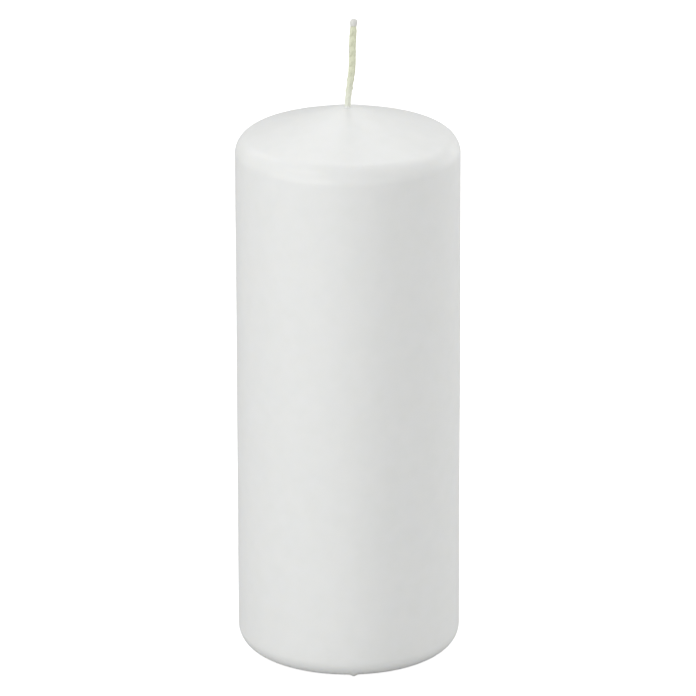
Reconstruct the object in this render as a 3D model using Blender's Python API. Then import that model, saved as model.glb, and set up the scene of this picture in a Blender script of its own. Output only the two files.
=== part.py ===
"""A white wax pillar candle, 80 mm across and 202 mm tall, with a low crown and a plaited cotton wick.

It is built the way such a candle is made: a pressed wax core with a bore, a hard wax coat dipped over
it, a wick of three bundles plaited together, a wax seal on the wick's cut end, a tinplate sustainer that
grips the wick at the foot, and a wax seal poured over the sustainer. Nothing moves.

Metres, +Z up. The origin is the centre of the foot, on the surface that the candle stands on.
"""

import math

import bmesh
import bpy
from mathutils import Vector

# Driving sizes
CANDLE_RADIUS = 0.040
CANDLE_HEIGHT = 0.2023
SHOULDER_FILLET = 0.0071
FOOT_FILLET = 0.0070
COAT = 0.0015
GAP = 0.0003

# Crown: a cone that falls by CROWN_FALL for each metre outwards, with its point rounded over
CROWN_FALL = 0.3312
CROWN_ROUNDING = 0.0017
# Distance from the axis at which the crown's own surface hands over to the wax round the wick
CROWN_INNER = 0.0045
# Above 1, the crown's rings lie closer together towards its rounded middle
CROWN_CROWDING = 1.5

# Wick: three bundles plaited flat, standing out of the crown and leaning towards +X
WICK_STANDS_OUT = 0.0306
BUNDLE_RADIUS = 0.00034
PLAIT_HALF_WIDTH = 0.00080
PLAIT_HALF_DEPTH = 0.00047
PLAIT_PITCH = 0.011
RINGS_PER_PITCH = 9
WICK_BORE = 0.00150
# The bend of its middle line: height above the crown, then the lean towards +X and towards +Y
WICK_BEND = (
    (0.0000, 0.00000, 0.00000),
    (0.0020, 0.00002, 0.00007),
    (0.0072, 0.00062, 0.00026),
    (0.0130, 0.00142, 0.00048),
    (0.0165, 0.00163, 0.00060),
    (0.0225, 0.00170, 0.00083),
    (0.0320, 0.00222, 0.00120),
)
TURN_STARTS = 0.0017
TURN_ENDS = 0.0147

# Wax that climbs the wick at the middle of the crown
MENISCUS_HEIGHT = 0.0013
MENISCUS_SPREAD = 0.0009

# Wax seal on the wick's cut end
TIP_RADIUS = 0.00115
TIP_LENGTH = 0.0012
TIP_CHAMFER = 0.0004
TIP_CROWN = 0.0001

# Recess in the foot, with the sustainer in it and its wax seal below
RECESS_RADIUS = 0.0105
RECESS_TOP = 0.0042
SEAL_SINK = 0.0005
SEAL_HOLLOW = 0.0002
TINPLATE = 0.0004
SUSTAINER_RADIUS = 0.0090
COLLAR_WALL = 0.0005
COLLAR_HEIGHT = 0.0050

SEGMENTS = 48
SMALL_SEGMENTS = 24
SHARP_ANGLE = math.radians(40)


def clear_scene():
    for obj in list(bpy.data.objects):
        bpy.data.objects.remove(obj, do_unlink=True)


def material(name, colour, roughness, metallic=0.0):
    made = bpy.data.materials.new(name)
    made.use_nodes = True
    shader = made.node_tree.nodes["Principled BSDF"]
    shader.inputs["Base Color"].default_value = (*colour, 1.0)
    shader.inputs["Roughness"].default_value = roughness
    shader.inputs["Metallic"].default_value = metallic
    return made


def arc(radius, height, size, start, end, steps):
    """Points of an arc in the (radius, height) plane. Angles are in degrees from straight out."""
    points = []
    for step in range(steps + 1):
        angle = math.radians(start + (end - start) * step / steps)
        points.append((radius + size * math.cos(angle), height + size * math.sin(angle)))
    return points


def turned(name, profile, closed, finish, segments):
    """Spins a profile of (radius, height) points once round Z. An open one starts and ends on the axis."""
    mesh = bpy.data.meshes.new(name)
    body = bmesh.new()
    points = [body.verts.new((radius, 0.0, height)) for radius, height in profile]
    edges = [body.edges.new(pair) for pair in zip(points, points[1:])]
    if closed:
        edges.append(body.edges.new((points[-1], points[0])))
    bmesh.ops.spin(
        body,
        geom=points + edges,
        cent=(0.0, 0.0, 0.0),
        axis=(0.0, 0.0, 1.0),
        angle=math.tau,
        steps=segments,
        use_merge=True,
    )
    bmesh.ops.remove_doubles(body, verts=body.verts, dist=1e-7)
    bmesh.ops.recalc_face_normals(body, faces=body.faces)
    body.to_mesh(mesh)
    body.free()
    mesh.materials.append(finish)
    mesh.shade_smooth()
    mesh.set_sharp_from_angle(angle=SHARP_ANGLE)
    made = bpy.data.objects.new(name, mesh)
    bpy.context.collection.objects.link(made)
    return made


def crown_height(radius):
    """Height of the crown's surface at a distance from the axis."""
    return CANDLE_HEIGHT + CROWN_ROUNDING - math.hypot(CROWN_ROUNDING, CROWN_FALL * radius)


def crown_tilt(radius):
    """Angle between the crown's surface and the level, at a distance from the axis."""
    return math.atan(CROWN_FALL**2 * radius / math.hypot(CROWN_ROUNDING, CROWN_FALL * radius))


def shoulder_touch():
    """Distance from the axis at which the shoulder's arc runs smoothly into the crown."""
    touch = CANDLE_RADIUS
    for _ in range(6):
        touch = CANDLE_RADIUS - SHOULDER_FILLET * (1.0 - math.sin(crown_tilt(touch)))
    return touch


def crown(inset, outer, inner, steps):
    """Points of the crown moved inwards by inset. They lie closer together towards the rounded middle."""
    points = []
    for step in range(steps + 1):
        radius = inner + (outer - inner) * (1.0 - step / steps) ** CROWN_CROWDING
        tilt = crown_tilt(radius)
        points.append((radius - inset * math.sin(tilt), crown_height(radius) - inset * math.cos(tilt)))
    return points


def outline(inset, crown_steps, fillet_steps):
    """The candle's outside, from the foot's flat to the crown near the axis, moved inwards by inset."""
    touch = shoulder_touch()
    tilt = crown_tilt(touch)
    shoulder_radius = CANDLE_RADIUS - SHOULDER_FILLET
    shoulder_height = crown_height(touch) - SHOULDER_FILLET * math.cos(tilt)
    turn = 90 - math.degrees(tilt)
    foot = arc(CANDLE_RADIUS - FOOT_FILLET, FOOT_FILLET, FOOT_FILLET - inset, -90, 0, fillet_steps)
    shoulder = arc(shoulder_radius, shoulder_height, SHOULDER_FILLET - inset, 0, turn, fillet_steps)
    return foot + shoulder + crown(inset, touch, CROWN_INNER, crown_steps)[1:]


def with_meniscus(points):
    """Adds the wax that climbs the wick: it thins away with distance from the bore."""
    raised = []
    for radius, height in points:
        climb = MENISCUS_HEIGHT * math.exp(-(radius - WICK_BORE) / MENISCUS_SPREAD)
        raised.append((radius, height + climb))
    return raised


def overdip_coat(wax):
    """The hard outer wax: side, shoulder, crown and foot, open at the recess and at the wick."""
    outside = outline(0.0, 6, 6)
    middle = crown(0.0, CROWN_INNER, WICK_BORE, 4)
    outside = with_meniscus(outside + middle[1:])
    inside = outline(COAT, 4, 4)
    inside.append((WICK_BORE, CANDLE_HEIGHT - COAT))
    profile = [(RECESS_RADIUS, COAT), (RECESS_RADIUS, 0.0)] + outside + inside[::-1]
    return turned("overdip_coat", profile, True, wax, SEGMENTS)


def wax_core(wax):
    """The pressed body inside the coat, with the wick's bore, the collar's pocket and the recess."""
    skin = COAT + GAP
    outside = outline(skin, 4, 4)
    pocket_radius = WICK_BORE + COLLAR_WALL + GAP
    pocket_top = RECESS_TOP + COLLAR_HEIGHT + GAP
    inside = [
        (WICK_BORE, CANDLE_HEIGHT - skin),
        (WICK_BORE, pocket_top),
        (pocket_radius, pocket_top),
        (pocket_radius, RECESS_TOP),
        (RECESS_RADIUS, RECESS_TOP),
        (RECESS_RADIUS, skin),
    ]
    return turned("wax_core", outside + inside, True, wax, SEGMENTS)


def wick_sustainer(tinplate):
    """A tinplate disc with a collar crimped round the wick, lying against the recess's top."""
    top = RECESS_TOP - GAP
    bottom = top - TINPLATE
    collar_outside = WICK_BORE + COLLAR_WALL
    turn = TINPLATE
    profile = [
        (WICK_BORE, bottom),
        (SUSTAINER_RADIUS, bottom),
        (SUSTAINER_RADIUS, top),
        (collar_outside + turn, top),
        (collar_outside, top + turn),
        (collar_outside, top + COLLAR_HEIGHT - turn / 2),
        (collar_outside - turn / 2, top + COLLAR_HEIGHT),
        (WICK_BORE, top + COLLAR_HEIGHT),
    ]
    return turned("wick_sustainer", profile, True, tinplate, SEGMENTS)


def base_seal(wax):
    """The wax poured over the sustainer, sunk a little below the foot's flat."""
    top = RECESS_TOP - GAP - TINPLATE - GAP
    edge = RECESS_RADIUS - GAP
    profile = [
        (0.0, SEAL_SINK + SEAL_HOLLOW),
        (edge * 2 / 3, SEAL_SINK + SEAL_HOLLOW),
        (edge - SEAL_SINK, SEAL_SINK),
        (edge, SEAL_SINK / 2),
        (edge, top),
        (0.0, top),
    ]
    return turned("base_seal", profile, False, wax, SEGMENTS)


def bend_slope(index, axis):
    """Slope of the wick's bend at one of its points, from the points on either side."""
    before = WICK_BEND[max(index - 1, 0)]
    after = WICK_BEND[min(index + 1, len(WICK_BEND) - 1)]
    return (after[axis] - before[axis]) / (after[0] - before[0])


def bend_at(above, axis):
    """Lean of the wick at a height above the crown, on a smooth cubic through the bend's points."""
    index = 0
    while index < len(WICK_BEND) - 2 and WICK_BEND[index + 1][0] < above:
        index += 1
    low, high = WICK_BEND[index], WICK_BEND[index + 1]
    span = high[0] - low[0]
    t = (above - low[0]) / span
    from_low = low[axis] * (1 + 2 * t) + bend_slope(index, axis) * span * t
    from_high = high[axis] * (3 - 2 * t) - bend_slope(index + 1, axis) * span * (1 - t)
    return from_low * (1 - t) ** 2 + from_high * t**2


def wick_middle(height):
    """The wick's middle line: straight up the bore, then bent above the crown."""
    above = max(height - CANDLE_HEIGHT, 0.0)
    return Vector((bend_at(above, 1), bend_at(above, 2), height))


def quarter_turn(height):
    """The plait's turn about its own line: edge-on at the crown, broadside above the bend."""
    t = (height - CANDLE_HEIGHT - TURN_STARTS) / (TURN_ENDS - TURN_STARTS)
    t = min(max(t, 0.0), 1.0)
    return math.radians(90) * (1.0 - t * t * (3.0 - 2.0 * t))


def wick_strand(index, count, cotton):
    """One bundle of the plait, whole from the sustainer to the cut end."""
    name = "wick_strand_" + "abc"[index]
    bottom = RECESS_TOP - GAP - TINPLATE
    top = CANDLE_HEIGHT + WICK_STANDS_OUT
    rings = round((top - bottom) / PLAIT_PITCH * RINGS_PER_PITCH)
    curve = bpy.data.curves.new(name, "CURVE")
    curve.dimensions = "3D"
    curve.bevel_depth = BUNDLE_RADIUS
    curve.bevel_resolution = 1
    curve.use_fill_caps = True
    line = curve.splines.new("POLY")
    line.points.add(rings)
    for ring, point in enumerate(line.points):
        height = bottom + (top - bottom) * ring / rings
        phase = math.tau * ((height - bottom) / PLAIT_PITCH + index / count)
        across = PLAIT_HALF_WIDTH * math.sin(phase)
        deep = PLAIT_HALF_DEPTH * math.sin(2 * phase)
        turn = quarter_turn(height)
        offset = Vector(
            (
                across * math.cos(turn) - deep * math.sin(turn),
                across * math.sin(turn) + deep * math.cos(turn),
                0.0,
            )
        )
        point.co = (*(wick_middle(height) + offset), 1.0)
    line.use_smooth = True
    curve.materials.append(cotton)
    made = bpy.data.objects.new(name, curve)
    bpy.context.collection.objects.link(made)
    return made


def wick_tip_seal(wax):
    """The bead of wax on the wick's cut end."""
    profile = [
        (0.0, 0.0),
        (TIP_RADIUS - TIP_CHAMFER, 0.0),
        (TIP_RADIUS, TIP_CHAMFER),
        (TIP_RADIUS, TIP_LENGTH - TIP_CHAMFER),
        (TIP_RADIUS - TIP_CHAMFER, TIP_LENGTH),
        (0.0, TIP_LENGTH + TIP_CROWN),
    ]
    made = turned("wick_tip_seal", profile, False, wax, SMALL_SEGMENTS)
    top = CANDLE_HEIGHT + WICK_STANDS_OUT
    made.location = wick_middle(top) + Vector((0.0, 0.0, GAP))
    return made


def build():
    clear_scene()
    coat_wax = material("coat_wax", (0.86, 0.86, 0.85), 0.38)
    core_wax = material("core_wax", (0.84, 0.84, 0.82), 0.60)
    seal_wax = material("seal_wax", (0.82, 0.82, 0.79), 0.45)
    cotton = material("waxed_cotton", (0.72, 0.72, 0.58), 0.70)
    tinplate = material("tinplate", (0.70, 0.70, 0.71), 0.30, 1.0)
    overdip_coat(coat_wax)
    wax_core(core_wax)
    for index in range(3):
        wick_strand(index, 3, cotton)
    wick_tip_seal(seal_wax)
    wick_sustainer(tinplate)
    base_seal(seal_wax)


build()
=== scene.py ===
"""Looks of the unity candle: a white wax pillar with a plaited cotton wick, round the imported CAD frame.

Metres, +Z up, the same frame as the CAD. The front, which the camera sees, is -Y.
"""

import math
import random

import bmesh
import bpy
import numpy as np
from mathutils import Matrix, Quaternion, Vector, noise


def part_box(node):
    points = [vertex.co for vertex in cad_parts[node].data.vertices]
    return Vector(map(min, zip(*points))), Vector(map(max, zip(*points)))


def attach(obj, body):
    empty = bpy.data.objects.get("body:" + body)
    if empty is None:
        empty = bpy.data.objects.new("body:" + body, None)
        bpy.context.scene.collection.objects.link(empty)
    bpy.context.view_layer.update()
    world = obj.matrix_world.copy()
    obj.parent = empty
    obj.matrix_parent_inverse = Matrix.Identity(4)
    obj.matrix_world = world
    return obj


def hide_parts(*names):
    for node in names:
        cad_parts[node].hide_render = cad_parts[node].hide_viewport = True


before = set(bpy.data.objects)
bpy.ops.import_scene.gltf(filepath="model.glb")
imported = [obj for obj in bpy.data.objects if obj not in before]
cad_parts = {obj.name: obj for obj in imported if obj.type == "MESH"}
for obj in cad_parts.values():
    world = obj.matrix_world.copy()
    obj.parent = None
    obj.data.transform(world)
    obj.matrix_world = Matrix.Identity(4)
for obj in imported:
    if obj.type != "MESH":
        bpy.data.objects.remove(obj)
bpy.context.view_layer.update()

MM = 0.001
BODY = "root"

# Sizes read from the frame
coat_low, coat_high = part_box("overdip_coat")
RADIUS = (coat_high.x - coat_low.x) / 2
seal_low, seal_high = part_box("base_seal")
disc_low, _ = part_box("wick_sustainer")
_, tip_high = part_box("wick_tip_seal")

# The candle's outline, as part.py has it
HEIGHT = 202.3 * MM
SHOULDER_FILLET = 7.1 * MM
FOOT_FILLET = 7.0 * MM
CROWN_FALL = 0.3312
CROWN_ROUNDING = 1.7 * MM
CROWN_INNER = 4.5 * MM
COAT = 1.5 * MM
RECESS_RADIUS = 10.5 * MM

# The wick's plait and its bend, as part.py has them
PLAIT_PITCH = 11.0 * MM
WICK_TOP = HEIGHT + 30.6 * MM
WICK_FOOT = disc_low.z
# Height above the crown, then the lean towards +X and towards +Y
WICK_BEND = (
    (0.0 * MM, 0.00 * MM, 0.00 * MM),
    (2.0 * MM, 0.02 * MM, 0.07 * MM),
    (7.2 * MM, 0.62 * MM, 0.26 * MM),
    (13.0 * MM, 1.42 * MM, 0.48 * MM),
    (16.5 * MM, 1.63 * MM, 0.60 * MM),
    (22.5 * MM, 1.70 * MM, 0.83 * MM),
    (32.0 * MM, 2.22 * MM, 1.20 * MM),
)
TURN_STARTS = 1.7 * MM
TURN_ENDS = 14.7 * MM


# ---------------------------------------------------------------- camera, light and floor

LENS = 335.7
SENSOR = 36.0
CAMERA_ABOVE = 19.91
CAMERA_ROLL = -0.13
CAMERA_DISTANCE = 58.16 * RADIUS
CAMERA_TURNS_ROUND = Vector((0.0, 0.0, 99.1 * MM))
CAMERA_AIMS_OFF = Vector((-0.11 * MM, 0.0, 12.95 * MM))

LIGHT_DISTANCE = 1.6
WIDE = (0.7, 0.7)
NARROW = (0.3, 0.6)
# Name, azimuth and elevation in degrees, size, power, and whether it shines in glossy surfaces.
# The side window is split in two, so that the crown's far slope doesn't glare in views from the left
LIGHTS = (
    ("key_high", -58, 48, WIDE, 3.65, True),
    ("key_low", -58, 8, WIDE, 3.55, True),
    ("front_left", -28, 8, WIDE, 4.0, True),
    ("front_right", 32, 8, WIDE, 2.8, True),
    ("side_window", 107, 10, NARROW, 1.2, True),
    ("side_window_fill", 107, 10, NARROW, 4.0, False),
    ("back", 180, 48, WIDE, 2.95, True),
    ("back_left", -135, 48, WIDE, 2.2, True),
    ("back_right_high", 135, 48, WIDE, 2.3, True),
    ("back_right_low", 135, 8, WIDE, 1.8, True),
)
WORLD_LIGHT = 0.515
WORLD_SEEN = 1.05

FLOOR_RADIUS = 6.0
FLOOR_BELOW = 0.2 * MM
FLOOR_TONE = 0.54
FLOOR_ROUGHNESS = 0.9
FLOOR_GLOW = 0.85


def make_camera():
    """The view from the front, 20 degrees above, through a long lens."""
    data = bpy.data.cameras.new("camera")
    data.sensor_width = SENSOR
    data.lens = LENS
    data.clip_start = 0.1
    data.clip_end = 50.0
    camera = bpy.data.objects.new("camera", data)
    bpy.context.collection.objects.link(camera)
    above = math.radians(CAMERA_ABOVE)
    place = CAMERA_TURNS_ROUND + CAMERA_DISTANCE * Vector((0.0, -math.cos(above), math.sin(above)))
    aim = CAMERA_TURNS_ROUND + CAMERA_AIMS_OFF
    camera.location = place
    camera.rotation_mode = "QUATERNION"
    level = (aim - place).to_track_quat("-Z", "Y")
    camera.rotation_quaternion = level @ Quaternion((0.0, 0.0, 1.0), math.radians(CAMERA_ROLL))
    bpy.context.scene.camera = camera


def softbox(name, azimuth, elevation, size, power, shines):
    """A rectangular area light aimed at the candle's middle. Azimuth 0 is in front, 90 on the +X side."""
    data = bpy.data.lights.new(name, "AREA")
    data.shape = "RECTANGLE"
    data.size, data.size_y = size
    data.energy = power
    light = bpy.data.objects.new(name, data)
    bpy.context.collection.objects.link(light)
    a, e = math.radians(azimuth), math.radians(elevation)
    way = Vector((math.sin(a) * math.cos(e), -math.cos(a) * math.cos(e), math.sin(e)))
    light.location = Vector((0.0, 0.0, HEIGHT / 2)) + way * LIGHT_DISTANCE
    light.rotation_mode = "QUATERNION"
    light.rotation_quaternion = (-way).to_track_quat("-Z", "Y")
    light.visible_glossy = shines


def make_lights():
    """Soft lights on all sides of the candle."""
    for light in LIGHTS:
        softbox(*light)


def show_camera(tree, plain, seen, output):
    """Shows one shader to the camera, and the plain one to everything else."""
    rays = tree.nodes.new("ShaderNodeLightPath")
    mix = tree.nodes.new("ShaderNodeMixShader")
    tree.links.new(rays.outputs["Is Camera Ray"], mix.inputs["Fac"])
    tree.links.new(plain, mix.inputs[1])
    tree.links.new(seen, mix.inputs[2])
    tree.links.new(mix.outputs["Shader"], tree.nodes[output].inputs["Surface"])


def make_world():
    """An even pale room. It shows white, and gives the candle less light than it shows."""
    world = bpy.data.worlds.new("studio")
    bpy.context.scene.world = world
    world.use_nodes = True
    plain = world.node_tree.nodes["Background"]
    seen = world.node_tree.nodes.new("ShaderNodeBackground")
    for background, strength in ((plain, WORLD_LIGHT), (seen, WORLD_SEEN)):
        background.inputs["Color"].default_value = (1.0, 1.0, 1.0, 1.0)
        background.inputs["Strength"].default_value = strength
    show_camera(world.node_tree, plain.outputs["Background"], seen.outputs["Background"], "World Output")
    bpy.context.scene.view_settings.view_transform = "Standard"


def floor_material():
    """Pale grey to the candle, and nearly white to the camera."""
    finish = bpy.data.materials.new("floor")
    finish.use_nodes = True
    tree = finish.node_tree
    shader = tree.nodes["Principled BSDF"]
    shader.inputs["Base Color"].default_value = (FLOOR_TONE, FLOOR_TONE, FLOOR_TONE, 1.0)
    shader.inputs["Roughness"].default_value = FLOOR_ROUGHNESS
    glow = tree.nodes.new("ShaderNodeEmission")
    glow.inputs["Strength"].default_value = FLOOR_GLOW
    both = tree.nodes.new("ShaderNodeAddShader")
    tree.links.new(shader.outputs["BSDF"], both.inputs[0])
    tree.links.new(glow.outputs["Emission"], both.inputs[1])
    show_camera(tree, shader.outputs["BSDF"], both.outputs["Shader"], "Material Output")
    return finish


def make_floor():
    """A wide pale floor. It shows nearly white, and gives the candle less light than it shows."""
    mesh = bpy.data.meshes.new("floor")
    body = bmesh.new()
    bmesh.ops.create_circle(body, cap_ends=True, segments=96, radius=FLOOR_RADIUS)
    body.to_mesh(mesh)
    body.free()
    floor = bpy.data.objects.new("floor", mesh)
    bpy.context.collection.objects.link(floor)
    floor.location.z = -FLOOR_BELOW
    mesh.materials.append(floor_material())


# ---------------------------------------------------------------- node helpers


class Graph:
    """A material's nodes, made with short calls."""

    def __init__(self, name):
        self.material = bpy.data.materials.new(name)
        self.material.use_nodes = True
        self.nodes = self.material.node_tree.nodes
        self.links = self.material.node_tree.links
        self.shader = self.nodes["Principled BSDF"]
        self.place = self.nodes.new("ShaderNodeTexCoord").outputs["Object"]

    def fixed(self, **values):
        """Sets the shader's own sockets. Subsurface_Weight=0.45 sets Subsurface Weight."""
        for name, value in values.items():
            self.shader.inputs[name.replace("_", " ")].default_value = value

    def link(self, source, target):
        self.links.new(source, self.shader.inputs[target])

    def stretched(self, scale):
        node = self.nodes.new("ShaderNodeMapping")
        node.inputs["Scale"].default_value = scale
        self.links.new(self.place, node.inputs["Vector"])
        return node.outputs["Vector"]

    def noise(self, size, detail=3.0, roughness=0.5, stretch=(1.0, 1.0, 1.0)):
        """Noise whose cells are about size metres across, longer along an axis with a small stretch."""
        node = self.nodes.new("ShaderNodeTexNoise")
        node.inputs["Scale"].default_value = 1.0
        node.inputs["Detail"].default_value = detail
        node.inputs["Roughness"].default_value = roughness
        self.links.new(self.stretched([way / size for way in stretch]), node.inputs["Vector"])
        return node.outputs["Fac"]

    def cells(self, size, feature="F1"):
        """Distances in Voronoi cells about size metres across."""
        node = self.nodes.new("ShaderNodeTexVoronoi")
        node.feature = feature
        node.inputs["Scale"].default_value = 1.0
        self.links.new(self.stretched([1 / size] * 3), node.inputs["Vector"])
        return node.outputs["Distance"]

    def ramp(self, source, stops):
        """Colours between stops, which are (position, colour) pairs."""
        node = self.nodes.new("ShaderNodeValToRGB")
        for point, (where, colour) in zip(node.color_ramp.elements, stops):
            point.position = where
            point.color = (*colour, 1.0)
        self.links.new(source, node.inputs["Fac"])
        return node.outputs["Color"]

    def spread(self, source, low, high, to_low, to_high):
        """Maps low to high onto to_low to to_high, and stays within them."""
        node = self.nodes.new("ShaderNodeMapRange")
        for name, value in zip(("From Min", "From Max", "To Min", "To Max"), (low, high, to_low, to_high)):
            node.inputs[name].default_value = value
        self.links.new(source, node.inputs["Value"])
        return node.outputs["Result"]

    def height(self):
        node = self.nodes.new("ShaderNodeSeparateXYZ")
        self.links.new(self.place, node.inputs["Vector"])
        return node.outputs["Z"]

    def blend(self, factor, first, second):
        """Mixes two colours. Each of them is a socket or a plain colour."""
        node = self.nodes.new("ShaderNodeMix")
        node.data_type = "RGBA"
        sockets = [s for s in node.inputs if s.name in ("Factor", "A", "B") and s.enabled]
        for socket, value in zip(sockets, (factor, first, second)):
            if isinstance(value, tuple):
                socket.default_value = (*value, 1.0)
            else:
                self.links.new(value, socket)
        return [s for s in node.outputs if s.enabled][0]

    def bump(self, *layers):
        """Layers are (height, depth in metres) pairs, added one on another."""
        normal = None
        for source, depth in layers:
            node = self.nodes.new("ShaderNodeBump")
            node.inputs["Strength"].default_value = 1.0
            node.inputs["Distance"].default_value = depth
            self.links.new(source, node.inputs["Height"])
            if normal is not None:
                self.links.new(normal, node.inputs["Normal"])
            normal = node.outputs["Normal"]
        self.link(normal, "Normal")


# ---------------------------------------------------------------- materials

WAX_IOR = 1.44
COTTON_IOR = 1.40
GRAIN = 2.2 * MM
# Height up to which the coat is darker towards the foot's lowest edge, and where it takes the wick's colour,
# above the crown's middle
FOOT_DARKER_BELOW = 1.2 * MM
STAIN_STARTS = 0.2 * MM
STAIN_ENDS = 1.0 * MM
# Where the wax that has climbed the wick ends, above the crown's middle
WHITE_STARTS = 2 * MM
WHITE_ENDS = 13 * MM


def coat_material():
    """Hard white wax: satin, faintly mottled by its crystals, with a soft ripple from dipping."""
    g = Graph("coat_wax_skin")
    mottle = g.cells(3.2 * MM, "SMOOTH_F1")
    cloud = g.noise(22 * MM, 2.0)
    base = g.ramp(g.noise(6 * MM, 4.0), [(0.3, (0.860, 0.871, 0.855)), (0.7, (0.884, 0.893, 0.882))])
    clouded = g.blend(g.spread(cloud, 0.3, 0.7, 0.0, 0.35), base, (0.872, 0.880, 0.864))
    mottled = g.blend(g.spread(mottle, 0.1, 0.8, 0.0, 0.30), clouded, (0.886, 0.895, 0.884))
    # Darker towards the foot's lowest edge, fading out over the last 1.2 mm above the floor
    foot_darkening = g.spread(g.height(), 0.0, FOOT_DARKER_BELOW, 0.5, 0.0)
    darker_foot = g.blend(foot_darkening, mottled, (0.80, 0.80, 0.78))
    stained = g.spread(g.height(), HEIGHT + STAIN_STARTS, HEIGHT + STAIN_ENDS, 0.0, 1.0)
    g.link(g.blend(stained, darker_foot, (0.84, 0.86, 0.72)), "Base Color")
    g.link(g.spread(g.noise(4 * MM, 4.0), 0.3, 0.7, 0.38, 0.46), "Roughness")
    g.fixed(IOR=WAX_IOR, Coat_Weight=0.12, Coat_Roughness=0.18)
    g.fixed(Subsurface_Weight=0.45, Subsurface_Scale=1.0 * MM, Subsurface_Radius=(1.0, 0.95, 0.85))
    g.bump((g.noise(9 * MM, 1.0), 0.05 * MM), (g.noise(1.1 * MM, 3.0), 0.004 * MM))
    return g.material


def core_material():
    """Wax granules pressed together: pale cells with faint darker joins."""
    g = Graph("pressed_wax")
    grains = g.cells(GRAIN)
    joins = g.cells(GRAIN, "DISTANCE_TO_EDGE")
    tone = g.ramp(grains, [(0.0, (0.85, 0.85, 0.83)), (0.8, (0.80, 0.80, 0.77))])
    g.link(g.blend(g.spread(joins, 0.0, 0.06, 0.35, 0.0), tone, (0.70, 0.70, 0.66)), "Base Color")
    g.link(g.spread(g.noise(1.0 * MM), 0.3, 0.7, 0.5, 0.7), "Roughness")
    g.fixed(IOR=WAX_IOR)
    g.bump((g.spread(joins, 0.0, 0.10, 0.0, 1.0), 0.08 * MM), (g.noise(0.4 * MM), 0.02 * MM))
    return g.material


def cotton_material():
    """Unbleached cotton soaked in wax: cream, streaked along its fibres, whiter where wax has climbed it."""
    g = Graph("primed_cotton")
    fibres = g.noise(0.10 * MM, 3.0, 0.6, (1.0, 1.0, 0.12))
    patches = g.noise(1.6 * MM, 2.0)
    tone = g.ramp(fibres, [(0.25, (0.72, 0.74, 0.555)), (0.75, (0.80, 0.82, 0.635))])
    patched = g.blend(g.spread(patches, 0.35, 0.65, 0.0, 0.4), tone, (0.775, 0.795, 0.62))
    waxed = g.spread(g.height(), HEIGHT + WHITE_STARTS, HEIGHT + WHITE_ENDS, 0.85, 0.0)
    g.link(g.blend(waxed, patched, (0.82, 0.84, 0.74)), "Base Color")
    g.link(g.spread(fibres, 0.2, 0.8, 0.45, 0.65), "Roughness")
    g.fixed(IOR=COTTON_IOR, Sheen_Weight=0.05)
    g.bump((fibres, 0.03 * MM), (g.noise(0.5 * MM), 0.03 * MM))
    return g.material


def seal_material(name, pale, deep):
    """Softer wax that set where it was poured or dipped: slightly greyer, with a wet ripple."""
    g = Graph(name)
    g.link(g.ramp(g.noise(1.5 * MM, 3.0), [(0.3, deep), (0.7, pale)]), "Base Color")
    g.link(g.spread(g.noise(0.8 * MM, 3.0), 0.3, 0.7, 0.28, 0.42), "Roughness")
    g.fixed(IOR=WAX_IOR)
    g.bump((g.noise(2.0 * MM, 2.0), 0.06 * MM), (g.noise(0.5 * MM), 0.01 * MM))
    return g.material


def tinplate_material():
    """Rolled steel with a thin tin coat: fine lines one way, a few dull spangles."""
    g = Graph("tinned_steel")
    lines = g.noise(0.15 * MM, 2.0, 0.5, (1.0, 0.04, 1.0))
    spangle = g.cells(2.5 * MM)
    g.link(g.ramp(spangle, [(0.0, (0.66, 0.66, 0.67)), (0.8, (0.74, 0.74, 0.75))]), "Base Color")
    g.link(g.spread(lines, 0.3, 0.7, 0.22, 0.36), "Roughness")
    g.fixed(Metallic=1.0)
    g.bump((lines, 0.004 * MM))
    return g.material


# ---------------------------------------------------------------- mesh helpers


def new_mesh(name, points, faces):
    mesh = bpy.data.meshes.new(name)
    mesh.from_pydata(points, [], faces)
    mesh.validate()
    return mesh


def add_piece(name, mesh, finish, slot, *replaced):
    """Links a mesh as a piece of the candle that rides on its one body."""
    mesh.materials.append(finish)
    mesh.shade_smooth()
    piece = bpy.data.objects.new(name, mesh)
    bpy.context.collection.objects.link(piece)
    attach(piece, BODY)
    if replaced:
        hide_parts(*replaced)
    return piece


def grid_faces(rows, columns, closed_rows=False):
    """Quads between rows of points, each row a closed ring. With closed_rows the last joins the first."""
    faces = []
    for row in range(rows if closed_rows else rows - 1):
        low, high = row * columns, (row + 1) % rows * columns
        for column in range(columns):
            right = (column + 1) % columns
            faces.append((low + column, low + right, high + right, high + column))
    return faces


def rod_faces(rings, sides, start=0):
    """Quads between rings of points, whose first has the index start, with flat faces over both ends."""
    faces = [tuple(start + i for i in face) for face in grid_faces(rings, sides)]
    last = start + (rings - 1) * sides
    faces.append(tuple(start + i for i in range(sides))[::-1])
    faces.append(tuple(last + i for i in range(sides)))
    return faces


def bead_faces(rings, sides):
    """Quads between rings, with fans to a point before the first ring and a point after the last."""
    faces = [tuple(i + 1 for i in face)[::-1] for face in grid_faces(rings, sides)]
    last = rings * sides + 1
    for step in range(sides):
        right = (step + 1) % sides
        faces.append((0, 1 + step, 1 + right))
        faces.append((last, last - sides + right, last - sides + step))
    return faces


def arc(radius, height, size, start, end, steps):
    """Points of an arc in the (radius, height) plane. Angles are in degrees from straight out."""
    angles = np.radians(np.linspace(start, end, steps + 1))
    return [(radius + size * math.cos(a), height + size * math.sin(a)) for a in angles]


def fractal(x, y, z, size):
    """Smooth seeded noise from -1 to 1 with cells of about size metres."""
    return noise.fractal(Vector((x, y, z)) / size, 1.0, 2.0, 3, noise_basis="PERLIN_ORIGINAL")


def smooth(value, start, end):
    """0 below start, 1 above end, and a smooth rise between them."""
    t = min(max((value - start) / (end - start), 0.0), 1.0)
    return t * t * (3.0 - 2.0 * t)


# ---------------------------------------------------------------- wax coat

# Above 1, the crown's rings lie closer together towards the wick
CROWN_CROWDING = 1.3
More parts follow.
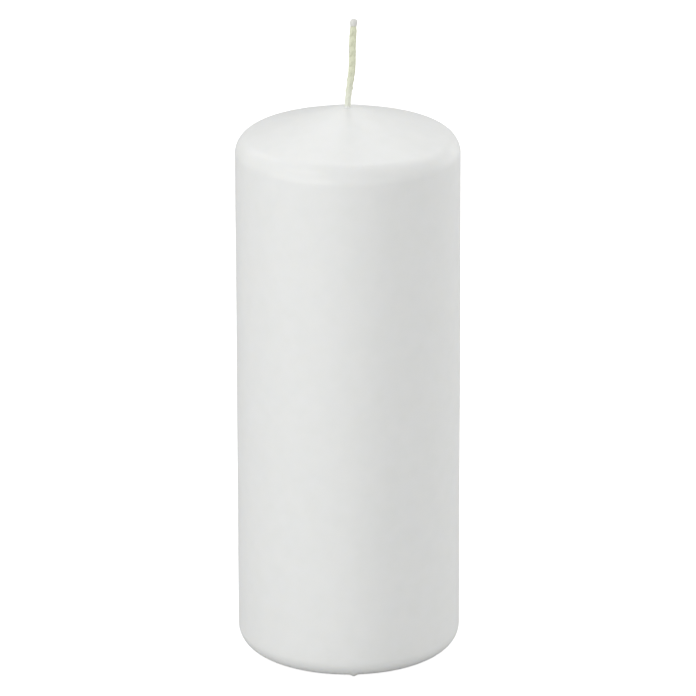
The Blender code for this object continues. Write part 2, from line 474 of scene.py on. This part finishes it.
# Steps of the mesh: round the candle, along the side, crown and each rounding, and in to the wick
ROUND_STEPS = 240
OUTSIDE_STEPS = (44, 30, 18)
INSIDE_STEPS = (8, 8, 8)
SPREAD_STEPS = 12
# The recess's edge is broken by this much
FOOT_BREAK = 0.25 * MM

# Wax that climbs the wick: a film that thins upwards, sinks into the wick and ends inside it
FILM_TOP = 1.9 * MM
FILM_BOTTOM = 0.05 * MM
FILM_WALL = 0.02 * MM
FILM_SINKS = 0.20 * MM
LIP_INSET = 0.12 * MM
LIP_DROP = 0.1 * MM
CLIMB = 0.38 * MM
CLIMB_FADES = 0.62 * MM
SWELL = 0.08 * MM
SWELL_FADES = 0.9 * MM
WICK_ACROSS = 1.00 * MM
WICK_DEEP = 1.18 * MM
# Heights of the film's rings, in millimetres above the crown's middle
FILM_RINGS = (0.05, 0.15, 0.27, 0.4, 0.55, 0.7, 0.85, 1.0, 1.15, 1.35, 1.6, 1.9)

# How far the dipped surface strays from the true outline. It fades towards the axis and stops at the foot
RIPPLE_BROAD = 0.075 * MM
RIPPLE_BROAD_SIZE = 38 * MM
RIPPLE_FINE = 0.012 * MM
RIPPLE_FINE_SIZE = 11 * MM
RIPPLE_FADES = 20 * MM
RIPPLE_FOOT = 0.3 * MM

# The run of wax that set against the table, under the foot's front edge
DRIP_X = 1.7 * MM
DRIP_RADIUS = 36.2 * MM
DRIP_DEPTH = 0.80 * MM
DRIP_WIDTH = 0.95 * MM
DRIP_LENGTH = 1.5 * MM
# The rings have more points within this many degrees of the drip
DRIP_SPAN = 4.5
DRIP_STEP = 0.3


def crown_height(radius):
    """Height of the crown's surface at a distance from the axis."""
    return HEIGHT + CROWN_ROUNDING - math.hypot(CROWN_ROUNDING, CROWN_FALL * radius)


def crown_tilt(radius):
    """Angle between the crown's surface and the level, at a distance from the axis."""
    return math.atan(CROWN_FALL**2 * radius / math.hypot(CROWN_ROUNDING, CROWN_FALL * radius))


def shoulder_touch():
    """Distance from the axis at which the shoulder's rounding meets the crown. It settles in a few rounds."""
    touch = RADIUS
    for _ in range(6):
        touch = RADIUS - SHOULDER_FILLET * (1.0 - math.sin(crown_tilt(touch)))
    return touch


def outline(inset, side_steps, crown_steps, fillet_steps):
    """The candle's outside from the foot's flat to the crown near the wick, moved inwards by inset."""
    touch = shoulder_touch()
    tilt = crown_tilt(touch)
    shoulder_radius = RADIUS - SHOULDER_FILLET
    shoulder = crown_height(touch) - SHOULDER_FILLET * math.cos(tilt)
    foot = arc(RADIUS - FOOT_FILLET, FOOT_FILLET, FOOT_FILLET - inset, -90, 0, fillet_steps)
    side = [(RADIUS - inset, h) for h in np.linspace(FOOT_FILLET, shoulder, side_steps + 1)[1:-1]]
    turn = arc(shoulder_radius, shoulder, SHOULDER_FILLET - inset, 0, 90 - math.degrees(tilt), fillet_steps)
    crown = []
    for share in np.linspace(0.0, 1.0, crown_steps + 1)[1:]:
        radius = CROWN_INNER + (touch - CROWN_INNER) * (1.0 - share) ** CROWN_CROWDING
        tilt = crown_tilt(radius)
        crown.append((radius - inset * math.sin(tilt), crown_height(radius) - inset * math.cos(tilt)))
    return foot + side + turn + crown


def ring_angles():
    """Angles round the candle, closer together at the drip."""
    drip = math.atan2(-DRIP_RADIUS, DRIP_X) % math.tau
    clear = math.radians(DRIP_SPAN + DRIP_STEP)
    plain = [math.tau * step / ROUND_STEPS for step in range(ROUND_STEPS)]
    kept = [angle for angle in plain if abs(angle - drip) > clear]
    steps = round(DRIP_SPAN / DRIP_STEP)
    fine = [drip + math.radians(step * DRIP_STEP) for step in range(-steps, steps + 1)]
    return sorted(kept + fine)


def wick_edge(angle):
    """Distance from the axis to the wick's side where it leaves the crown, at an angle round Z."""
    return 1.0 / math.hypot(math.cos(angle) / WICK_ACROSS, math.sin(angle) / WICK_DEEP)


def film_shape(angle):
    """The film's unevenness at its root and its top, at an angle round Z."""
    c, s = math.cos(angle) * MM, math.sin(angle) * MM
    uneven = 1.0 + 0.10 * fractal(c, s, 0.3 * MM, 1.2 * MM)
    top = FILM_TOP * (1.0 + 0.16 * fractal(c, s, 2.0 * MM, 1.0 * MM))
    return uneven, top


def surface_height(radius, edge, uneven):
    """Height of the crown with the wax that climbs the wick, at a distance from the axis."""
    reach = max((radius - edge - FILM_WALL) / (CLIMB * uneven), 1e-9)
    climb = -CLIMB_FADES * math.log(min(reach, 1.0))
    swell = SWELL * math.exp(-max(radius - edge - CLIMB, 0.0) / SWELL_FADES)
    return crown_height(radius) + climb + swell


def skin_point(angle, radius, height):
    """A point of the outside, moved by the ripple and by the drip at the foot."""
    c, s = math.cos(angle), math.sin(angle)
    if height > RIPPLE_FOOT:
        x, y = radius * c, radius * s
        broad = fractal(x, y, height * 0.5, RIPPLE_BROAD_SIZE) * RIPPLE_BROAD
        fine = fractal(x + 1.0, y, height, RIPPLE_FINE_SIZE) * RIPPLE_FINE
        radius += (broad + fine) * min(1.0, radius / RIPPLE_FADES)
    x, y = radius * c, radius * s
    if height < FOOT_FILLET and y < 0:
        near = ((x - DRIP_X) / DRIP_WIDTH) ** 2 + ((-y - DRIP_RADIUS) / DRIP_LENGTH) ** 2
        height = max(height - DRIP_DEPTH * math.exp(-near), 0.0)
    return x, y, height


def round_point(angle, radius, height):
    """A point of the inside, which is plainly round."""
    return radius * math.cos(angle), radius * math.sin(angle), height


def spread_point(angle, share):
    """A point of the crown near the wick, from where its rings end to where the film starts."""
    edge = wick_edge(angle)
    uneven, _ = film_shape(angle)
    first = edge + FILM_WALL + CLIMB * uneven
    radius = CROWN_INNER + (first - CROWN_INNER) * share
    return round_point(angle, radius, surface_height(radius, edge, uneven))


def film_point(angle, above):
    """A point of the film on the wick, at about a height above the crown's middle."""
    edge = wick_edge(angle)
    uneven, top = film_shape(angle)
    up = FILM_BOTTOM + (above - FILM_BOTTOM) * (top - FILM_BOTTOM) / FILM_TOP
    radius = edge + FILM_WALL + CLIMB * uneven * math.exp(-up / CLIMB_FADES)
    height = surface_height(radius, edge, uneven)
    return round_point(angle, radius - FILM_SINKS * (up / top) ** 2, height)


def lip_point(angle):
    """A point of the film's hidden end, inside the wick."""
    _, top = film_shape(angle)
    return round_point(angle, wick_edge(angle) - FILM_SINKS - LIP_INSET, HEIGHT + top - LIP_DROP)


def bore_point(angle):
    """A point of the coat's inside edge, round the wick."""
    return round_point(angle, wick_edge(angle), HEIGHT - COAT)


def coat_rings():
    """The coat's rings in order round its wall: each is a function of the angle and its other values."""
    rings = [(skin_point, place) for place in outline(0.0, *OUTSIDE_STEPS)]
    rings += [(spread_point, (share,)) for share in np.linspace(0.0, 1.0, SPREAD_STEPS + 1)[1:-1]]
    rings += [(film_point, (above * MM,)) for above in FILM_RINGS]
    rings += [(lip_point, ()), (bore_point, ())]
    rings += [(round_point, place) for place in outline(COAT, *INSIDE_STEPS)[::-1]]
    recess = [(RECESS_RADIUS, COAT), (RECESS_RADIUS, FOOT_BREAK), (RECESS_RADIUS + FOOT_BREAK, 0.0)]
    return rings + [(round_point, place) for place in recess]


def make_coat(finish):
    """The hard outer wax, as one closed wall: its outside, the film on the wick, its bore and its inside."""
    angles = ring_angles()
    rings = coat_rings()
    points = [place(angle, *values) for place, values in rings for angle in angles]
    mesh = new_mesh("coat_skin", points, grid_faces(len(rings), len(angles), closed_rows=True))
    add_piece("coat_skin", mesh, finish, "coat_wax", "overdip_coat")


# ---------------------------------------------------------------- wick

# The plait is deeper than the CAD's, because its real yarns are pressed together with no gaps
PLAIT_HALF_WIDTH = 0.75 * MM
PLAIT_HALF_DEPTH = 0.62 * MM
# The wax squeezes the wick in its bore and in the bead at its end. Heights are above the crown's middle
PINCH = 0.94
PINCH_ENDS = 4.5 * MM
TIP_PINCH = 0.84
TIP_PINCH_STARTS = 27.6 * MM
TIP_PINCH_ENDS = 29.9 * MM

YARNS = 7
YARN_SIDES = 7
YARN_RADIUS = 0.21 * MM
YARN_SPREAD = 0.35 * MM
YARN_TWIST = 7.0 * MM
YARN_SEED = 11
YARN_START_STRAYS = 0.15
YARN_SIZES = (0.92, 1.08)
YARN_WANDERS = 0.10
YARN_SWELLS = 0.08
# Rings are fine from this far below the crown, and coarse inside the wax
SEEN_BELOW = 6 * MM
SEEN_STEP = 0.2 * MM
HIDDEN_STEP = 1.0 * MM

# Wax that the wick was primed with: it fills the plait between its bundles, and is rounder at the root
PRIMING_HALF_WIDTH = 1.24 * MM
PRIMING_HALF_DEPTH = 0.78 * MM
PRIMING_ROOT_DEPTH = 1.12 * MM
PRIMING_STARTS_BELOW = 4 * MM
PRIMING_STEP = 0.15 * MM
PRIMING_SIDES = 28
PRIMING_LUMPS = 0.05

# The scrap of wax on the wick's left side
CRUMB_HEIGHT = 20.8 * MM
CRUMB_OFF = Vector((-1.12 * MM, -0.26 * MM, 0.0))
CRUMB_HALF_SIZE = (0.26 * MM, 0.32 * MM, 1.55 * MM)
CRUMB_LUMPS = 0.22

# Stray fibres. They leave the plait just under its priming wax
FUZZ_FIBRES = 46
FUZZ_SEED = 5
FUZZ_SIDES = 5
FUZZ_POINTS = 7
FUZZ_RADIUS = 0.012 * MM
FUZZ_STARTS = HEIGHT + 5 * MM
FUZZ_ENDS = WICK_TOP - 1 * MM
FUZZ_ROOT_ACROSS = 1.05 * MM
FUZZ_ROOT_DEEP = 0.68 * MM
# Limits in millimetres of how far a fibre reaches out, rises and drifts sideways
FUZZ_REACH = (0.30, 0.62)
FUZZ_RISE = (-0.5, 0.9)
FUZZ_DRIFT = (-0.4, 0.4)
FUZZ_CURL = 2.4

# The bead's outline: distance from the wick's middle and height from the bead's top, in millimetres
BEAD_OUTLINE = (
    (0.35, -0.01),
    (0.68, -0.06),
    (0.95, -0.17),
    (1.13, -0.34),
    (1.26, -0.60),
    (1.33, -0.95),
    (1.34, -1.30),
    (1.30, -1.70),
    (1.24, -2.05),
    (1.17, -2.35),
    (0.96, -2.50),
    (0.60, -2.45),
)
BEAD_END = -2.40
BEAD_TOP = tip_high.z - 0.1 * MM
BEAD_DEPTH = 0.93
BEAD_SIDES = 40
BEAD_LUMPS = 0.05
# Below this, in millimetres from the bead's top, its edge runs down the wick unevenly
SKIRT_STARTS = -1.5
SKIRT = 0.25 * MM


def bend_slope(index, axis):
    """Slope of the bend at one of its points, from the points on each side of it."""
    before = WICK_BEND[max(index - 1, 0)]
    after = WICK_BEND[min(index + 1, len(WICK_BEND) - 1)]
    return (after[axis] - before[axis]) / (after[0] - before[0])


def bend_at(above, axis):
    """Lean of the wick at a height above the crown, on a smooth cubic through the bend's points."""
    index = 0
    while index < len(WICK_BEND) - 2 and WICK_BEND[index + 1][0] < above:
        index += 1
    low, high = WICK_BEND[index], WICK_BEND[index + 1]
    span = high[0] - low[0]
    t = (above - low[0]) / span
    from_low = low[axis] * (1 + 2 * t) + bend_slope(index, axis) * span * t
    from_high = high[axis] * (3 - 2 * t) - bend_slope(index + 1, axis) * span * (1 - t)
    return from_low * (1 - t) ** 2 + from_high * t**2


def wick_middle(height):
    """Where the wick's middle line is at a height. Below the crown it is the candle's axis."""
    above = max(height - HEIGHT, 0.0)
    return Vector((bend_at(above, 1), bend_at(above, 2), height))


def quarter_turn(height):
    """The plait's turn about its own line: edge-on at the crown, broadside above the bend."""
    return math.radians(90) * (1.0 - smooth(height - HEIGHT, TURN_STARTS, TURN_ENDS))


def turned(across, deep, height):
    """A step across the plait and a step through it, turned as the plait is at a height."""
    turn = quarter_turn(height)
    x = across * math.cos(turn) - deep * math.sin(turn)
    y = across * math.sin(turn) + deep * math.cos(turn)
    return Vector((x, y, 0.0))


def pinch(height):
    """How much the wax squeezes the wick, in the bore and in the bead. It is 1 between them."""
    above = height - HEIGHT
    root = PINCH + (1.0 - PINCH) * smooth(above, 0.0, PINCH_ENDS)
    tip = 1.0 - (1.0 - TIP_PINCH) * smooth(above, TIP_PINCH_STARTS, TIP_PINCH_ENDS)
    return root * tip


def plaited(height, share):
    """Middle of a bundle of the plait at a height. share is 0, 1/3 or 2/3."""
    phase = math.tau * ((height - WICK_FOOT) / PLAIT_PITCH + share)
    across = PLAIT_HALF_WIDTH * pinch(height) * math.sin(phase)
    deep = PLAIT_HALF_DEPTH * pinch(height) * math.sin(2 * phase)
    return wick_middle(height) + turned(across, deep, height)


def tube(points, radii, sides, start=0):
    """Points and faces of a round tube with closed ends along a line of points."""
    line = np.array(points)
    ways = np.gradient(line, axis=0)
    ways /= np.linalg.norm(ways, axis=1)[:, None]
    angles = np.linspace(0.0, math.tau, sides, endpoint=False)
    first = np.cross(ways[0], (0.0, 1.0, 0.0))
    first /= np.linalg.norm(first)
    rings = []
    for place, way, radius in zip(line, ways, radii):
        first = first - way * first.dot(way)
        first /= np.linalg.norm(first)
        second = np.cross(way, first)
        rings.append(place + radius * (np.outer(np.cos(angles), first) + np.outer(np.sin(angles), second)))
    return np.concatenate(rings), rod_faces(len(rings), sides, start)


def strand_heights():
    """Heights along the wick: fine where it shows, coarse inside the wax."""
    hidden = np.arange(WICK_FOOT, HEIGHT - SEEN_BELOW, HIDDEN_STEP)
    seen = np.arange(HEIGHT - SEEN_BELOW, WICK_TOP, SEEN_STEP)
    return np.concatenate([hidden, seen, [WICK_TOP]])


def yarn_line(index, yarn, start_angle, size, heights):
    """Middle line and radii of one yarn, which winds round its bundle and swells and wanders a little."""
    line, radii = [], []
    for height in heights:
        angle = start_angle + math.tau * (height - WICK_FOOT) / YARN_TWIST
        wander = 1.0 + YARN_WANDERS * noise.noise(Vector((height * 900, yarn * 3.7, index * 9.1)))
        swell = 1.0 + YARN_SWELLS * noise.noise(Vector((height * 2600, yarn * 1.3, index)))
        reach = YARN_SPREAD * wander * pinch(height)
        out = Vector((math.cos(angle), math.sin(angle), 0.0))
        line.append(plaited(height, index / 3) + out * reach)
        radii.append(size * pinch(height) * swell)
    return line, radii


def make_strand(index, finish):
    """One bundle of the plait: yarns twisted together."""
    letter = "abc"[index]
    heights = strand_heights()
    chance = random.Random(YARN_SEED + index)
    points, faces = [], []
    for yarn in range(YARNS):
        start_angle = math.tau * yarn / YARNS + chance.uniform(-YARN_START_STRAYS, YARN_START_STRAYS)
        size = YARN_RADIUS * chance.uniform(*YARN_SIZES)
        line, radii = yarn_line(index, yarn, start_angle, size, heights)
        made, sides = tube(line, radii, YARN_SIDES, len(points))
        points.extend(made.tolist())
        faces.extend(sides)
    mesh = new_mesh("wick_yarns_" + letter, points, faces)
    add_piece("wick_yarns_" + letter, mesh, finish, "waxed_cotton", "wick_strand_" + letter)


def make_priming(finish):
    """The wax inside the plait and between its bundles: a flat lumpy rod that follows the wick."""
    heights = np.arange(HEIGHT - PRIMING_STARTS_BELOW, WICK_TOP, PRIMING_STEP)
    points = []
    for height in heights:
        at_root = math.sin(quarter_turn(height)) ** 0.5
        depth = PRIMING_HALF_DEPTH + (PRIMING_ROOT_DEPTH - PRIMING_HALF_DEPTH) * at_root
        for step in range(PRIMING_SIDES):
            angle = math.tau * step / PRIMING_SIDES
            c, s = math.cos(angle), math.sin(angle)
            lump = 1.0 + PRIMING_LUMPS * fractal(c * 0.8 * MM, s * 0.8 * MM, height, 1.1 * MM)
            across = PRIMING_HALF_WIDTH * pinch(height) * c
            deep = depth * pinch(height) * s
            points.append(wick_middle(height) + turned(across, deep, height) * lump)
    mesh = new_mesh("wick_priming", points, rod_faces(len(heights), PRIMING_SIDES))
    add_piece("wick_priming", mesh, finish, "waxed_cotton")


def make_crumb(finish):
    """A scrap of wax that set on the wick's left side."""
    middle = wick_middle(HEIGHT + CRUMB_HEIGHT) + CRUMB_OFF
    mesh = bpy.data.meshes.new("wick_crumb")
    body = bmesh.new()
    bmesh.ops.create_icosphere(body, subdivisions=4, radius=1.0)
    for vert in body.verts:
        way = vert.co.copy()
        lump = 1.0 + CRUMB_LUMPS * fractal(way.x * MM, way.y * MM, way.z * MM, 0.9 * MM)
        vert.co = middle + Vector(CRUMB_HALF_SIZE) * way * lump
    body.to_mesh(mesh)
    body.free()
    add_piece("wick_crumb", mesh, finish, "seal_wax")


def make_fuzz(finish):
    """A few cotton fibres that stand off the plait, each thinner than a hair."""
    chance = random.Random(FUZZ_SEED)
    points, faces = [], []
    for _ in range(FUZZ_FIBRES):
        height = chance.uniform(FUZZ_STARTS, FUZZ_ENDS)
        angle = chance.uniform(0.0, math.tau)
        root = turned(FUZZ_ROOT_ACROSS * math.cos(angle), FUZZ_ROOT_DEEP * math.sin(angle), height)
        out = root.normalized()
        start = wick_middle(height) + root
        reach = chance.uniform(*FUZZ_REACH) * MM
        rise = chance.uniform(*FUZZ_RISE) * MM
        drift = Vector((-out.y, out.x, 0.0)) * chance.uniform(*FUZZ_DRIFT) * MM
        line = []
        for share in np.linspace(0.0, 1.0, FUZZ_POINTS):
            away = out * reach * math.sin(share * FUZZ_CURL)
            line.append(start + away + drift * share + Vector((0.0, 0.0, rise * share)))
        made, sides = tube(line, [FUZZ_RADIUS] * len(line), FUZZ_SIDES, len(points))
        points.extend(made.tolist())
        faces.extend(sides)
    add_piece("wick_fuzz", new_mesh("wick_fuzz", points, faces), finish, "waxed_cotton")


def make_tip(finish):
    """The wick's end, dipped in wax: a blunt bead a little wider than the plait, with a soft skirt."""
    middle = wick_middle(WICK_TOP)
    points = [(middle.x, middle.y, BEAD_TOP)]
    for radius, down in BEAD_OUTLINE:
        height = BEAD_TOP + down * MM
        centre = wick_middle(height)
        for step in range(BEAD_SIDES):
            angle = math.tau * step / BEAD_SIDES
            c, s = math.cos(angle), math.sin(angle)
            lump = 1.0 + BEAD_LUMPS * fractal(c * MM, s * MM, down * MM, 0.9 * MM)
            runs = SKIRT * fractal(c * MM, s * MM, 5 * MM, 0.8 * MM) if down < SKIRT_STARTS else 0.0
            x = centre.x + radius * lump * MM * c
            y = centre.y + radius * lump * MM * s * BEAD_DEPTH
            points.append((x, y, height + runs))
    end = wick_middle(BEAD_TOP + BEAD_END * MM)
    points.append((end.x, end.y, end.z))
    mesh = new_mesh("wick_tip_bead", points, bead_faces(len(BEAD_OUTLINE), BEAD_SIDES))
    add_piece("wick_tip_bead", mesh, finish, "seal_wax", "wick_tip_seal")


# ---------------------------------------------------------------- foot

SEAL_SIDES = 96
SEAL_GAP = 0.25 * MM
SEAL_RADIUS = RECESS_RADIUS - SEAL_GAP
# Rings of the seal's face, as shares of its radius
SEAL_RINGS = (1.0, 0.985, 0.95, 0.88, 0.78, 0.65, 0.5, 0.35, 0.2, 0.08)
SEAL_CLINGS = 0.9 * MM
SEAL_STEP = 0.55 * MM
SEAL_SINKS = 0.315 * MM
SEAL_WAVE = 0.10 * MM
SEAL_WAVE_SIZE = 4 * MM
SEAL_RIPPLE = 0.03 * MM
SEAL_RIPPLE_WINDS = 22.0


def seal_face(x, y, share):
    """Height of the seal's face at a share of its radius: it sinks from the wall to the middle."""
    cling = math.exp(-(1.0 - share) * SEAL_RADIUS / SEAL_CLINGS)
    ripple = SEAL_RIPPLE * math.sin(share * SEAL_RIPPLE_WINDS)
    wave = SEAL_WAVE * fractal(x, y, 0.0, SEAL_WAVE_SIZE) + ripple
    return seal_low.z + SEAL_SINKS * (1.0 - share**2) + (SEAL_STEP + wave) * (1.0 - cling)


def make_seal(finish):
    """Wax poured over the sustainer: it clings to the recess's wall and sinks towards its middle."""
    angles = [math.tau * step / SEAL_SIDES for step in range(SEAL_SIDES)]
    points = [(0.0, 0.0, seal_high.z)]
    points += [(SEAL_RADIUS * math.cos(a), SEAL_RADIUS * math.sin(a), seal_high.z) for a in angles]
    for share in SEAL_RINGS:
        for angle in angles:
            x, y = SEAL_RADIUS * share * math.cos(angle), SEAL_RADIUS * share * math.sin(angle)
            points.append((x, y, seal_face(x, y, share)))
    points.append((0.0, 0.0, points[-1][2]))
    mesh = new_mesh("foot_seal", points, bead_faces(len(SEAL_RINGS) + 1, SEAL_SIDES))
    add_piece("foot_seal", mesh, finish, "seal_wax", "base_seal")


# ---------------------------------------------------------------- the whole candle


def make_pieces():
    make_coat(coat_material())
    cotton = cotton_material()
    for index in range(3):
        make_strand(index, cotton)
    make_priming(cotton)
    make_fuzz(cotton)
    tip_wax = seal_material("tip_wax", (0.80, 0.80, 0.77), (0.74, 0.74, 0.70))
    make_tip(tip_wax)
    make_crumb(tip_wax)
    make_seal(seal_material("poured_wax", (0.84, 0.84, 0.81), (0.79, 0.79, 0.75)))


def finish_cad_nodes():
    """The pieces whose CAD shape is right get their real material."""
    for node, finish in (("wax_core", core_material()), ("wick_sustainer", tinplate_material())):
        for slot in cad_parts[node].material_slots:
            slot.material = finish


make_camera()
make_lights()
make_world()
make_floor()
make_pieces()
finish_cad_nodes()
